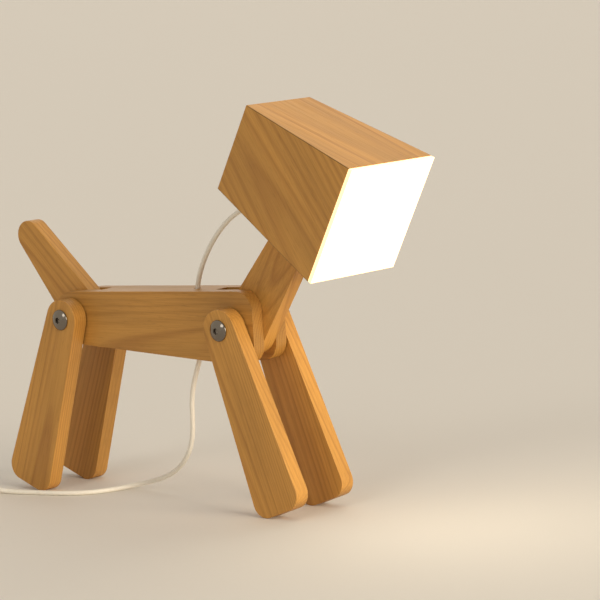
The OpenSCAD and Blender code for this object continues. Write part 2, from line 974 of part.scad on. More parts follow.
// Switch on the cord, made about its own middle at the table

switch_top = switch_low_h + switch_up_h;
rocker_z = switch_low_h + rocker_pivot_up;
switch_inner_w = switch_w - 2 * switch_wall;
switch_screw_d = 2;
switch_boss_d = 4.4;
switch_screw_x = switch_len / 2 - 6;
switch_screw_y = switch_inner_w / 2 - switch_boss_d / 2 + 0.4;
rocker_half_gap = rocker_w / 2 + rocker_gap;
// The ribs that hold the rocker run into the middle of the shell's wall
rib_end = switch_w / 2 - switch_wall / 2;

module at_switch() {
    translate([switch_x, switch_y, 0]) children();
}

module switch_outline(inset) {
    polygon(round_box(switch_len - 2 * inset, switch_w - 2 * inset, switch_corner_r - inset));
}

// Two places on a diagonal for the screws
module switch_screw_places() {
    for (s = [-1, 1]) translate([s * switch_screw_x, s * switch_screw_y, 0]) children();
}

module cord_groove() {
    translate([0, 0, cord_z]) rod_x(cord_d + 2 * cord_gap, -switch_len, switch_len);
}

module switch_lower_shell() {
    color("ivory") at_switch()
        difference() {
            union() {
                difference() {
                    linear_extrude(height = switch_low_h) switch_outline(0);
                    translate([0, 0, switch_wall])
                        linear_extrude(height = switch_low_h) switch_outline(switch_wall);
                }
                intersection() {
                    switch_screw_places() cylinder(d = switch_boss_d, h = switch_low_h);
                    linear_extrude(height = switch_low_h) switch_outline(0);
                }
            }
            cord_groove();
            switch_screw_places() translate([0, 0, -cut]) {
                cylinder(d = switch_screw_d + 2 * axle_fit, h = switch_low_h + 2 * cut);
                cylinder(d = 2 * switch_screw_d + 2 * axle_fit, h = switch_wall + cut);
            }
        }
}

module switch_upper_shell() {
    color("ivory") at_switch()
        difference() {
            union() {
                difference() {
                    translate([0, 0, switch_low_h]) linear_extrude(height = switch_up_h) switch_outline(0);
                    linear_extrude(height = switch_top - switch_wall) switch_outline(switch_wall);
                }
                intersection() {
                    switch_screw_places()
                        translate([0, 0, switch_low_h]) cylinder(d = switch_boss_d, h = switch_up_h);
                    linear_extrude(height = switch_top) switch_outline(0);
                }
                block(
                    [-1.5 * rocker_pivot_d, -rib_end, rocker_z - rocker_pivot_d],
                    [1.5 * rocker_pivot_d, rib_end, switch_top - switch_wall / 2]
                );
            }
            cord_groove();
            block(
                [-rocker_len / 2 - 3 * rocker_gap, -rocker_half_gap, switch_low_h],
                [rocker_len / 2 + 3 * rocker_gap, rocker_half_gap, switch_top + cut]
            );
            pivot_end = switch_inner_w / 2 - rocker_gap;
            translate([0, 0, rocker_z]) rod_y(rocker_pivot_d + 2 * axle_fit, -pivot_end, pivot_end);
            switch_screw_places() cylinder(d = switch_screw_d + 2 * axle_fit, h = switch_top - switch_wall);
        }
}

module switch_rocker() {
    pivot_half = switch_inner_w / 2 - 2 * rocker_gap;
    color("gainsboro") at_switch()
        translate([0, 0, rocker_z]) rotate([0, rocker_tilt, 0]) {
            slab(-rocker_w / 2, rocker_w) {
                polygon([
                    [-rocker_len / 2, 1], [rocker_len / 2, 1],
                    [rocker_len / 2, rocker_end_h], [0, rocker_mid_h], [-rocker_len / 2, rocker_end_h]
                ]);
                circle(d = 2 * rocker_pivot_d);
            }
            rod_y(rocker_pivot_d, -pivot_half, pivot_half);
        }
}

module switch_contacts() {
    strip_w = 3;
    strip_t = 0.4;
    strip_in = 3;
    color("gold") at_switch()
        for (s = [-1, 1])
            block(
                [min(s * strip_in, s * (switch_screw_x - strip_in)), -strip_w / 2, switch_wall],
                [max(s * strip_in, s * (switch_screw_x - strip_in)), strip_w / 2, switch_wall + strip_t]
            );
}

module switch_screws() {
    color("silver") at_switch()
        switch_screw_places() {
            cylinder(d = switch_screw_d, h = switch_top - 2 * switch_wall);
            cylinder(d = 2 * switch_screw_d, h = switch_wall);
        }
}

// Plug, made along -X from the end of the cord

plug_back = plug_x - plug_boot_len;
plug_front = plug_back - plug_len;

module at_plug() {
    translate([0, switch_y, plug_z]) children();
}

module plug_body() {
    color("ivory") at_plug() {
        translate([plug_front, 0, 0]) rotate([90, 0, 90]) linear_extrude(height = plug_len)
            polygon(round_box(plug_w, plug_h, plug_corner_r));
        translate([plug_back, 0, 0]) rotate([0, 90, 0])
            cylinder(d1 = plug_boot_d, d2 = boot_tip_d, h = plug_boot_len);
    }
}

module plug_shell() {
    color("silver") at_plug()
        translate([plug_front - shell_len, 0, 0]) rotate([90, 0, 90]) linear_extrude(height = shell_len)
            difference() {
                square([shell_w, shell_h], center = true);
                square([shell_w - 2 * shell_wall, shell_h - 2 * shell_wall], center = true);
            }
}

tongue_top = shell_h / 2 - shell_wall;
contact_t = 0.2;

module plug_tongue() {
    half = shell_w / 2 - shell_wall - contact_t;
    color("white") at_plug()
        block([plug_front - shell_len + 1, -half, tongue_top - tongue_t], [plug_front, half, tongue_top]);
}

module plug_contacts() {
    contact_w = 1;
    contact_pitch = 2.3;
    tongue_low = tongue_top - tongue_t;
    color("gold") at_plug()
        for (i = [-1.5 : 1 : 1.5])
            block(
                [plug_front - shell_len + 2, i * contact_pitch - contact_w / 2, tongue_low - contact_t],
                [plug_front, i * contact_pitch + contact_w / 2, tongue_low]
            );
}

torso_right_cheek();
torso_core();
torso_left_cheek();
right_front_leg();
left_front_leg();
right_rear_leg();
left_rear_leg();
front_axle_barrel();
front_axle_screw();
rear_axle_barrel();
rear_axle_screw();
leg_washers();
tail();
neck();
head_top_board();
head_bottom_board();
head_right_board();
head_left_board();
head_back_board();
diffuser();
light_plate();
light_board();
light_chips();
plate_battens();
plate_screws();
driver_pad();
driver_board();
driver_components();
hinge_blocks();
hinge_bolt();
hinge_nut();
hinge_washers();
cord_boot();
cord_inner();
cord_upper();
cord_lower();
cord_link();
cord_coil();
cord_end();
coil_tie();
switch_lower_shell();
switch_upper_shell();
switch_rocker();
switch_contacts();
switch_screws();
plug_body();
plug_shell();
plug_tongue();
plug_contacts();
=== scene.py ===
import math
import bpy
import bmesh
from mathutils import Matrix, Vector
from mathutils.geometry import tessellate_polygon


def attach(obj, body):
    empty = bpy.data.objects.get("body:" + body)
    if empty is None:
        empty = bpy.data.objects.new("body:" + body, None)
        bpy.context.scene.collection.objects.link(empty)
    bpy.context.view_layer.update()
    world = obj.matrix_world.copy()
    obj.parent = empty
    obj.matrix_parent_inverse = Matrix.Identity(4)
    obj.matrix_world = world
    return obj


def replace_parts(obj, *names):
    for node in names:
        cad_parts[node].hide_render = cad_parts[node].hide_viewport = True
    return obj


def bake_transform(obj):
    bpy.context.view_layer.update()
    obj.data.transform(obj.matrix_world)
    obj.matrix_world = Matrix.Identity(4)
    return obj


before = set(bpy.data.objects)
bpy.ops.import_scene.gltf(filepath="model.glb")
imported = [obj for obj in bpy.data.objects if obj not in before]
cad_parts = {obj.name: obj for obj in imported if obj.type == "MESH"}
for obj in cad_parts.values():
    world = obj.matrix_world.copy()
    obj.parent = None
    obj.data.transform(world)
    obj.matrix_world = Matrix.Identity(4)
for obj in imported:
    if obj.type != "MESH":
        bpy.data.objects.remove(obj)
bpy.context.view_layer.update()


def mm(*values):  # millimetres to metres, for one number or a point
    return values[0] / 1000 if len(values) == 1 else Vector([v / 1000 for v in values])


# colours and shaders
def linear(code):  # sRGB hex to linear RGBA
    parts = [int(code[i:i + 2], 16) / 255 for i in (1, 3, 5)]
    return tuple(c / 12.92 if c <= 0.04045 else ((c + 0.055) / 1.055) ** 2.4 for c in parts) + (1,)


def addNode(tree, kind, links=None, **settings):
    # links give each socket a value, an output, or a node, which stands for its first output
    node = tree.nodes.new("ShaderNode" + kind)
    for name, value in settings.items():
        setattr(node, name, value)
    for socket, source in (links or {}).items():
        if isinstance(source, bpy.types.Node):
            source = source.outputs[0]
        if isinstance(source, bpy.types.NodeSocket):
            tree.links.new(source, node.inputs[socket])
        else:
            node.inputs[socket].default_value = source
    return node


def newMaterial(name):
    material = bpy.data.materials.new(name)
    material.use_nodes = True
    material.node_tree.nodes.clear()
    return material, material.node_tree


# oak, planed, sanded and oiled: close brown growth lines on a honey ground, faint pores, a low satin gloss
oak = {
    "pale": "#cc9546", "late": "#a1692b", "fibre": "#895622", "pore": "#653e1a",
    "ringGap": 2.4,  # width of a year's growth, mm
    "yearTone": ((0, 0.35), (0.14, 0), (0.5, 0.12), (0.84, 1), (1, 0.35)),  # how brown, through one year
    "lateShare": (0.2, 0.62),  # brown of the faintest and of the strongest year
    "stray": 5, "strayWide": 38, "strayAlong": 0.16,  # mm that a ring leaves its circle, slower lengthwise
    # real fibres and pores are 0.2 mm wide or less, drawn wider to show
    # a cut is the part of the noise, from none to full, that a fibre or a pore takes
    "fibreWide": 0.5, "fibreLong": 30, "fibreCut": (0.42, 0.8), "fibreShare": 0.33,
    "poreWide": 0.7, "poreLong": 9, "poreCut": (0.62, 0.76), "poreShare": 0.22,
    "patchWide": 22, "patchTone": (0.86, 1.08),
    "rough": (0.38, 0.62), "relief": 0.2, "poreDeep": 0.7,  # relief in mm, a pore's depth as a share of it
    "endFacing": (0.55, 0.95), "endTone": 0.82, "seamTone": 0.5,
}
# pine, planed and left bare: straw yellow with broad orange late wood, without shine
pine = dict(oak, pale="#dfbb82", late="#bd8a4b", fibre="#c99c62", pore="#b58a55", ringGap=3.4,
            rough=(0.54, 0.78))


def growthRings(tree, grain, slow, ringGap, wood):
    # share of late wood: circles round the pith, pulled out of round along the board
    stray = addNode(tree, "TexNoise", {
        "Vector": slow, "Scale": 1 / mm(wood["strayWide"]), "Detail": 2, "Roughness": 0.4})
    flat = addNode(tree, "VectorMath", {0: grain, 1: (1, 1, 0)}, operation="MULTIPLY")
    reach = addNode(tree, "VectorMath", {0: flat}, operation="LENGTH")
    years = addNode(tree, "Math", {0: reach.outputs["Value"], 1: 1 / mm(ringGap)}, operation="MULTIPLY")
    bent = addNode(tree, "Math", {0: stray, 1: wood["stray"] / ringGap, 2: years}, operation="MULTIPLY_ADD")
    ring = addNode(tree, "Math", {0: bent}, operation="FRACT")
    tone = addNode(tree, "ValToRGB", {0: ring})
    stops = tone.color_ramp.elements
    for place, brown in wood["yearTone"][1:-1]:
        stops.new(place)
    for stop, (place, brown) in zip(stops, wood["yearTone"]):
        stop.color = (brown, brown, brown, 1)
    # no two years are as brown as each other
    year = addNode(tree, "Math", {0: bent}, operation="FLOOR")
    chance = addNode(tree, "TexWhiteNoise", {"W": year}, noise_dimensions="1D")
    faint, strong = wood["lateShare"]
    share = addNode(tree, "MapRange", {"Value": chance, "To Min": faint, "To Max": strong})
    return addNode(tree, "Math", {0: tone, 1: share}, operation="MULTIPLY")


def fibresAndPores(tree, grain, wood):  # both drawn out along the board
    thin = (1, 1, wood["fibreWide"] / wood["fibreLong"])
    fibreWay = addNode(tree, "VectorMath", {0: grain, 1: thin}, operation="MULTIPLY")
    fibre = addNode(tree, "TexNoise", {
        "Vector": fibreWay, "Scale": 1 / mm(2 * wood["fibreWide"]), "Detail": 3, "Roughness": 0.65})
    short = (1, 1, wood["poreWide"] / wood["poreLong"])
    poreWay = addNode(tree, "VectorMath", {0: grain, 1: short}, operation="MULTIPLY")
    spots = addNode(tree, "TexNoise", {
        "Vector": poreWay, "Scale": 1 / mm(wood["poreWide"]), "Detail": 1, "Roughness": 0.5})
    low, high = wood["poreCut"]
    pore = addNode(tree, "MapRange", {"Value": spots, "From Min": low, "From Max": high})
    return fibre, pore


def boardTone(tree, coord, slow, along, tone, seam, wood):
    # light and dark over a board: slow patches, and end grain, which drinks more oil
    patches = addNode(tree, "TexNoise", {"Vector": slow, "Scale": 1 / mm(wood["patchWide"]), "Detail": 1})
    dim, bright = (tone * t for t in wood["patchTone"])
    patch = addNode(tree, "MapRange", {
        "Value": patches, "From Min": 0.3, "From Max": 0.7, "To Min": dim, "To Max": bright})
    facing = addNode(tree, "SeparateXYZ", {0: coord.outputs["Normal"]})
    endOn = addNode(tree, "Math", {0: facing.outputs[along]}, operation="ABSOLUTE")
    low, high = wood["endFacing"]
    endTone = addNode(tree, "MapRange", {
        "Value": endOn, "From Min": low, "From Max": high, "To Min": 1, "To Max": wood["endTone"]})
    depth = addNode(tree, "Math", {0: patch, 1: endTone}, operation="MULTIPLY")
    if not seam:
        return depth
    # mitre joints lie on the diagonals and show as a dark line
    sides = addNode(tree, "VectorMath", {0: coord.outputs["Object"]}, operation="ABSOLUTE")
    side = addNode(tree, "SeparateXYZ", {0: sides})
    gap = addNode(tree, "Math", {0: side.outputs["Y"], 1: side.outputs["Z"]}, operation="SUBTRACT")
    near = addNode(tree, "Math", {0: gap}, operation="ABSOLUTE")
    line = addNode(tree, "MapRange", {
        "Value": near, "From Min": mm(seam / 2), "From Max": mm(seam),
        "To Min": wood["seamTone"], "To Max": 1})
    return addNode(tree, "Math", {0: depth, 1: line}, operation="MULTIPLY")


def sawnBoard(name, along, pith, skew=(0, 0, 0), shift=0, tone=1, ringGap=None, seam=0, wood=oak):
    # pith is where the heart of the tree lies from the board's own axes, skew how many degrees the board was
    # cut off its line, shift its place up the trunk, seam how wide a mitre joint shows dark
    material, tree = newMaterial(name)
    coord = addNode(tree, "TexCoord")
    split = addNode(tree, "SeparateXYZ", {0: coord.outputs["Object"]})
    order = {"X": "YZX", "Z": "XYZ"}[along]  # two axes across the board, then the one along it
    board = addNode(tree, "CombineXYZ", {i: split.outputs[axis] for i, axis in enumerate(order)})
    grain = addNode(tree, "Mapping", {
        "Vector": board, "Location": mm(-pith[0], -pith[1], shift),
        "Rotation": [math.radians(a) for a in skew]})
    slow = addNode(tree, "VectorMath", {0: grain, 1: (1, 1, wood["strayAlong"])}, operation="MULTIPLY")
    late = growthRings(tree, grain, slow, ringGap or wood["ringGap"], wood)
    fibre, pore = fibresAndPores(tree, grain, wood)
    low, high = wood["fibreCut"]
    streak = addNode(tree, "MapRange", {
        "Value": fibre, "From Min": low, "From Max": high, "To Max": wood["fibreShare"]})
    poreShare = addNode(tree, "Math", {0: pore, 1: wood["poreShare"]}, operation="MULTIPLY")
    # pale early wood, with late wood, fibres and pores laid over it
    colour = linear(wood["pale"])
    for layer, share in {"late": late, "fibre": streak, "pore": poreShare}.items():
        mix = addNode(tree, "Mix", {0: share, 6: colour, 7: linear(wood[layer])}, data_type="RGBA")
        colour = mix.outputs[2]
    depth = boardTone(tree, coord, slow, along, tone, seam, wood)
    tinted = addNode(tree, "Mix", {0: 1.0, 6: colour, 7: depth}, data_type="RGBA", blend_type="MULTIPLY")
    # fibres are duller than the wood between them, and pores are a hair deep
    smooth, dull = wood["rough"]
    rough = addNode(tree, "MapRange", {
        "Value": fibre, "From Min": 0.3, "From Max": 0.8, "To Min": smooth, "To Max": dull})
    height = addNode(tree, "Math", {0: pore, 1: -wood["poreDeep"], 2: fibre}, operation="MULTIPLY_ADD")
    bump = addNode(tree, "Bump", {"Strength": 0.2, "Distance": mm(wood["relief"]), "Height": height})
    shader = addNode(tree, "BsdfPrincipled", {
        "Base Color": tinted.outputs[2], "Roughness": rough, "IOR": 1.47, "Normal": bump})
    addNode(tree, "OutputMaterial", {0: shader})
    return material


def plainSurface(name, colour, fleck, rough, grit, depth=0.05, **sockets):
    # a fine mottle runs through colour, gloss and relief, with its grit and depth in mm;
    # real grits are finer, and are drawn this coarse to show in the render
    material, tree = newMaterial(name)
    coord = addNode(tree, "TexCoord")
    noise = addNode(tree, "TexNoise", {
        "Vector": coord.outputs["Object"], "Scale": 1 / mm(grit), "Detail": 3, "Roughness": 0.6})
    mottle = addNode(tree, "Mix", {0: noise, 6: linear(colour), 7: linear(fleck)}, data_type="RGBA")
    gloss = addNode(tree, "MapRange", {
        "Value": noise, "From Min": 0.3, "From Max": 0.7,
        "To Min": rough * 0.85, "To Max": min(1, rough * 1.2)})
    bump = addNode(tree, "Bump", {"Strength": 0.2, "Distance": mm(depth), "Height": noise})
    links = {"Base Color": mottle.outputs[2], "Roughness": gloss, "Normal": bump}
    links.update({key.replace("_", " "): value for key, value in sockets.items()})
    shader = addNode(tree, "BsdfPrincipled", links)
    addNode(tree, "OutputMaterial", {0: shader})
    return material


# opal acrylic, cast and lit from behind: an even white glow that turns amber at the very edge
opal = {"sheet": "#f6f1e4", "middle": "#ffeed0", "edge": "#66502e", "edgeFrom": 3.5, "edgeTo": 0.3}


def opalSheet(name, glow, halfWidth):
    material, tree = newMaterial(name)
    coord = addNode(tree, "TexCoord")
    size = addNode(tree, "VectorMath", {0: coord.outputs["Object"]}, operation="ABSOLUTE")
    split = addNode(tree, "SeparateXYZ", {0: size})
    out = addNode(tree, "Math", {0: split.outputs["Y"], 1: split.outputs["Z"]}, operation="MAXIMUM")
    edgeFrom, edgeTo = mm(halfWidth - opal["edgeFrom"]), mm(halfWidth - opal["edgeTo"])
    rim = addNode(tree, "MapRange", {"Value": out, "From Min": edgeFrom, "From Max": edgeTo},
                  interpolation_type="SMOOTHSTEP")
    warm = addNode(tree, "Mix", {
        0: rim, 6: linear(opal["middle"]), 7: linear(opal["edge"])}, data_type="RGBA")
    shader = addNode(tree, "BsdfPrincipled", {
        "Base Color": linear(opal["sheet"]), "Roughness": 0.35, "IOR": 1.49,
        "Emission Color": warm.outputs[2], "Emission Strength": glow})
    addNode(tree, "OutputMaterial", {0: shader})
    return material


# meshes
def link(name, data, matrix=None):
    obj = bpy.data.objects.new(name, data)
    bpy.context.scene.collection.objects.link(obj)
    if matrix is not None:
        obj.matrix_world = matrix
    return obj


def standFor(piece, body, slot, *nodes):  # a piece on a body, in the place of CAD nodes
    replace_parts(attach(piece, body), *nodes)
    return piece


def finishMesh(bm, name, material, matrix=None, sharp=None):  # soft shading, but for edges past sharp degrees
    bmesh.ops.recalc_face_normals(bm, faces=bm.faces)
    for face in bm.faces:
        face.smooth = True
    mesh = bpy.data.meshes.new(name)
    bm.to_mesh(mesh)
    bm.free()
    if sharp is not None:
        mesh.set_sharp_from_angle(angle=math.radians(sharp))
    mesh.materials.append(material)
    return link(name, mesh, matrix)


def easeEdges(obj, width, angle=40, clamp=True):
    bevel = obj.modifiers.new("easedEdge", "BEVEL")
    bevel.width = mm(width)
    bevel.segments = 3
    bevel.limit_method = "ANGLE"
    bevel.angle_limit = math.radians(angle)
    bevel.harden_normals = True
    bevel.use_clamp_overlap = clamp


def joinFlat(bm):  # triangles in one plane become whole faces
    bmesh.ops.dissolve_limit(bm, angle_limit=0.001, verts=bm.verts, edges=bm.edges)


def fillFace(bm, loops):  # flat face from its outline and its holes
    verts = [v for loop in loops for v in loop]
    for triangle in tessellate_polygon([[v.co for v in loop] for loop in loops]):
        bm.faces.new([verts[i] for i in triangle])


def bridgeRings(bm, one, two):
    for k in range(len(one)):
        n = (k + 1) % len(one)
        bm.faces.new((one[k], one[n], two[n], two[k]))


def loft(bm, rings):  # skin over a row of rings, closed at both ends
    for one, two in zip(rings, rings[1:]):
        bridgeRings(bm, one, two)
    bm.faces.new(rings[0])
    bm.faces.new(rings[-1])


def bridgeSolid(name, lowLoops, highLoops, matrix, ease, material):
    # solid between two matching sets of loops, the first an outline and the rest its holes
    bm = bmesh.new()
    ends = [[[bm.verts.new(p) for p in loop] for loop in loops] for loops in (lowLoops, highLoops)]
    for loops in ends:
        fillFace(bm, loops)
    for low, high in zip(*ends):
        bridgeRings(bm, low, high)
    bmesh.ops.recalc_face_normals(bm, faces=bm.faces)
    joinFlat(bm)
    obj = finishMesh(bm, name, material, matrix)
    easeEdges(obj, ease)
    return obj


def touchAngle(a, b):  # outward normal of the line that touches two round corners
    across, up = b[0] - a[0], b[1] - a[1]
    return math.atan2(up, across) - math.acos((a[2] - b[2]) / math.hypot(across, up))


def belt(corners, step=5):  # outline drawn tight round corners, anticlockwise, a point each few degrees
    points = []
    for i, (x, z, r) in enumerate(corners):
        start = touchAngle(corners[i - 1], corners[i])
        sweep = (touchAngle(corners[i], corners[(i + 1) % len(corners)]) - start) % (2 * math.pi)
        count = max(1, math.ceil(math.degrees(sweep) / step))
        angles = [start + sweep * k / count for k in range(count + 1)]
        points += [(x + r * math.cos(a), z + r * math.sin(a)) for a in angles]
    return points


def ringAngles(count):
    return [2 * math.pi * k / count for k in range(count)]


def ringPoints(x, z, d, count=48):
    return [(x + d / 2 * math.cos(a), z + d / 2 * math.sin(a)) for a in ringAngles(count)]


def makePlank(name, node, body, corners, holes, span, matrix, ease, material):  # span is along Y
    loops = [belt(corners)] + [ringPoints(*hole) for hole in holes]
    low, high = ([[mm(x, y, z) for x, z in loop] for loop in loops] for y in span)
    standFor(bridgeSolid(name, low, high, matrix, ease, material), body, "oak", node)


# sizes shared by several pieces, in millimetres and degrees; the cord leaves the head's underside at exitX
lamp = {
    "plank": 12, "slotGap": 0.2, "slideGap": 0.15, "cheek": 10.6, "washer": 0.8,
    "rearX": -116, "frontX": 40, "axleBore": 8.1,
    "legLength": 133, "legFoot": 42, "legCorner": 11, "legLean": 20.5,
    "neckLength": 104, "neckForward": 2.5, "neckLean": 37,
    "headFront": 87, "headBack": 65, "headDepth": 107, "headPitch": 28.6, "hingeInHead": (3, -21.5),
    "exitX": -38.5, "exitLean": 36,
}
plankSpan = (-lamp["plank"] / 2, lamp["plank"] / 2)
slotHalf = lamp["plank"] / 2 + lamp["slotGap"]
torsoHalf = slotHalf + lamp["cheek"]
legIn = torsoHalf + lamp["washer"] + lamp["slideGap"]
legOut = legIn + lamp["plank"]
boltSeat = legOut + lamp["slideGap"]
# a leg stands on the round corner of its foot, which sets the height of the axles
legRun = lamp["legLength"] - lamp["legCorner"]
legSide = lamp["legFoot"] / 2 - lamp["legCorner"]
legLean = math.radians(lamp["legLean"])
axleZ = legRun * math.cos(legLean) + legSide * math.sin(legLean) + lamp["legCorner"]


def placeAt(x, z, lean):  # frame of a plank: x across, z along, turned about Y
    return Matrix.Translation(mm(x, 0, z)) @ Matrix.Rotation(math.radians(lean), 4, "Y")


# frame of the neck, from the front axle, and of the head: x along the head, z up, from the head's middle
neckFrame = placeAt(lamp["frontX"], axleZ, lamp["neckLean"])
hinge = neckFrame @ mm(lamp["neckForward"], 0, lamp["neckLength"])
headTurn = Matrix.Rotation(math.radians(lamp["headPitch"]), 4, "Y")
headFrame = Matrix.Translation(hinge) @ headTurn @ Matrix.Translation(
    mm(-lamp["hingeInHead"][0], 0, -lamp["hingeInHead"][1]))
headEnd = lamp["headDepth"] / 2
headFlare = (lamp["headFront"] - lamp["headBack"]) / 2 / lamp["headDepth"]  # the head widens this much per mm


def headHalf(x):  # half the head's width, and height, at a place along it
    return lamp["headBack"] / 2 + headFlare * (x + headEnd)


# camera: fitted to the edges of the planks and the head, 600 x 600 frame; far is in metres
cameraSetup = {
    "place": (1421.75, -1497.21, 412.56), "turn": 41.65, "dip": 7.513, "roll": -3.341,
    "lens": 177.3, "sensor": 36, "far": 100,
}


def makeCamera(setup):
    turn, dip, roll = (math.radians(setup[k]) for k in ("turn", "dip", "roll"))
    ahead = Vector((-math.sin(turn) * math.cos(dip), math.cos(turn) * math.cos(dip), -math.sin(dip)))
    level = Vector((math.cos(turn), math.sin(turn), 0))
    above = level.cross(ahead)
    right = level * math.cos(roll) + above * math.sin(roll)
    up = above * math.cos(roll) - level * math.sin(roll)
    data = bpy.data.cameras.new("camera")
    data.sensor_width = setup["sensor"]
    data.lens = setup["lens"]
    data.clip_end = setup["far"]
    axes = Matrix((right, up, -ahead)).transposed().to_4x4()
    bpy.context.scene.camera = link("camera", data, Matrix.Translation(mm(*setup["place"])) @ axes)


makeCamera(cameraSetup)
print("camera set")


# cord: one route in stretches, the same points as the solids
def smoothRoute(points, steps):
    path = []
    last = len(points) - 1
    for i in range(last):
        a, b, c, d = (points[max(i - 1, 0)], points[i], points[i + 1], points[min(i + 2, last)])
        for k in range(steps + (1 if i == last - 1 else 0)):
            t = k / steps
            path.append(b + (c - a) * (t / 2) + (a - b * 2.5 + c * 2 - d * 0.5) * (t * t)
                        + (b * 3 - a - c * 3 + d) * (t ** 3 / 2))
    return path


def routeLength(path):
    return sum((b - a).length for a, b in zip(path, path[1:]))


def makeTube(name, path, radius, material, sides=16):
    bm = bmesh.new()
    rings = []
    side = Vector((0, 1, 0.3))  # carried from ring to ring, so that the tube doesn't twist
    for i, point in enumerate(path):
        ahead = (path[min(i + 1, len(path) - 1)] - path[max(i - 1, 0)]).normalized()
        side = (side - ahead * side.dot(ahead)).normalized()
        other = ahead.cross(side)
        rings.append([bm.verts.new(point + (side * math.cos(a) + other * math.sin(a)) * radius)
                      for a in ringAngles(sides)])
    loft(bm, rings)
    return finishMesh(bm, name, material, sharp=60)


cordSetup = {
    "diameter": 3.5, "steps": 6,  # rings from one point of a route to the next
    "bootLong": 14, "straightOut": (0.35, 0.7),  # straight on past the boot, in shares of its length
    "leadLong": 12,  # straight lead inside the head
    "meet": 28,  # ring of the upper route where its two stretches meet
    "slideFrom": (-6, 0, 146),  # the cord gives from here up when the neck leans; the cords here are built in one fixed pose and do not give
    "upper": [(30.5, 203.5), (19.5, 194.5), (10, 184), (2.5, 173), (-2.5, 163), (-5.2, 154.5), (-6, 147),
              (-6, 140)],
    "lower": [
        (-6, 0, 126), (-6, 0, 112), (-8, 0, 102), (-12, 0, 92), (-16, 0, 81), (-18.2, 0, 69), (-18.7, 0, 57),
        (-20, 0, 45), (-24.5, 0.5, 34), (-33, 2, 24.5), (-45, 4.5, 16.5), (-58, 7, 11), (-70.5, 8.9, 7.2),
        (-81, 8, 4.4), (-89, 3.5, 2.6), (-94, -4.5, 1.85), (-97.5, -14, 1.85), (-103.5, -23.5, 1.85),
        (-113, -31.5, 1.85), (-126, -37.5, 1.85), (-142, -42.5, 1.85), (-157, -47, 1.85), (-167, -49.9, 2.3),
        (-175, -52.2, 3.6), (-182, -53.7, 4.8), (-188, -54, 5), (-193, -54, 5)],
    "linkY": -54,  # switch and plug are in line here
    "link": [(-223, 5), (-228, 5), (-234, 4.5), (-241, 3.6), (-248, 2.85), (-253.5, 2.75), (-257, 2.75),
             (-260.5, 2.75)],
    "end": [(-267.5, 6.8), (-271, 6.8), (-275, 6.5), (-280, 5.6), (-284.5, 4.8), (-288, 4.5), (-292, 4.5)],
    "inner": [(-23, -11.5), (-14, -1.5), (-5, 5), (3, 7.6), (8.5, 8), (13.4, 8)],  # in the head's frame
    "coil": {"middle": (-264, -24), "radius": 30, "pitch": 4.05, "turns": 4.25, "low": 2.75, "dip": 0.9,
             "rings": 48},
}


def coilPath(coil):  # a flat spiral inwards, half a turn up, and a spiral outwards on top
    points = []
    turns, pitch, (x, y) = coil["turns"], coil["pitch"], coil["middle"]
    inner = coil["radius"] - turns * pitch
    for i in range(round((2 * turns + 0.5) * coil["rings"]) + 1):
        turn = i / coil["rings"]
        if turn < turns:
            radius = coil["radius"] - turn * pitch
        elif turn < turns + 0.5:
            radius = inner - coil["dip"] * math.sin(2 * math.pi * (turn - turns))
        else:
            radius = inner + (turn - turns - 0.5) * pitch
        high = coil["low"] + pitch * min(1, max(0, 2 * (turn - turns)))
        a = -math.pi / 2 - 2 * math.pi * turn
        points.append(mm(x + radius * math.cos(a), y + radius * math.sin(a), high))
    return points


def cordPaths(setup):
    steps, y = setup["steps"], setup["linkY"]
    lean = math.radians(lamp["exitLean"])
    inward = Vector((math.sin(lean), 0, math.cos(lean)))
    hole = mm(lamp["exitX"], 0, -headHalf(lamp["exitX"]))
    bootTip = hole - inward * mm(setup["bootLong"])
    tip = headFrame @ bootTip
    way = tip - headFrame @ hole
    upper = [tip] + [tip + way * s for s in setup["straightOut"]] + [mm(x, 0, z) for x, z in setup["upper"]]
    bow = smoothRoute(upper, steps)
    down = smoothRoute([upper[-1]] + [mm(*p) for p in setup["lower"]], steps)
    before, after = (smoothRoute([mm(x, y, z) for x, z in setup[k]], steps) for k in ("link", "end"))
    lead = [bootTip, hole, hole + inward * mm(setup["leadLong"])] + [mm(x, 0, z) for x, z in setup["inner"]]
    return {
        "head": bow[:setup["meet"] + 1], "body": bow[setup["meet"]:-1] + down,
        "store": before + coilPath(setup["coil"]) + after,
        "inside": smoothRoute([headFrame @ p for p in lead], steps)}


# band that holds the coil: tape drawn snug round the turns, its end pressed down on top
tieShape = {
    "slack": 0.12, "thick": 0.7, "wide": 6, "ease": 0.12, "endFrom": 2, "endWide": 5.6,
    "end": [(0, -0.1), (7.5, 0.02), (9.6, 0.3), (9.4, 0.85), (7.3, 0.55), (0.4, 0.5), (0, 0.2)],
}


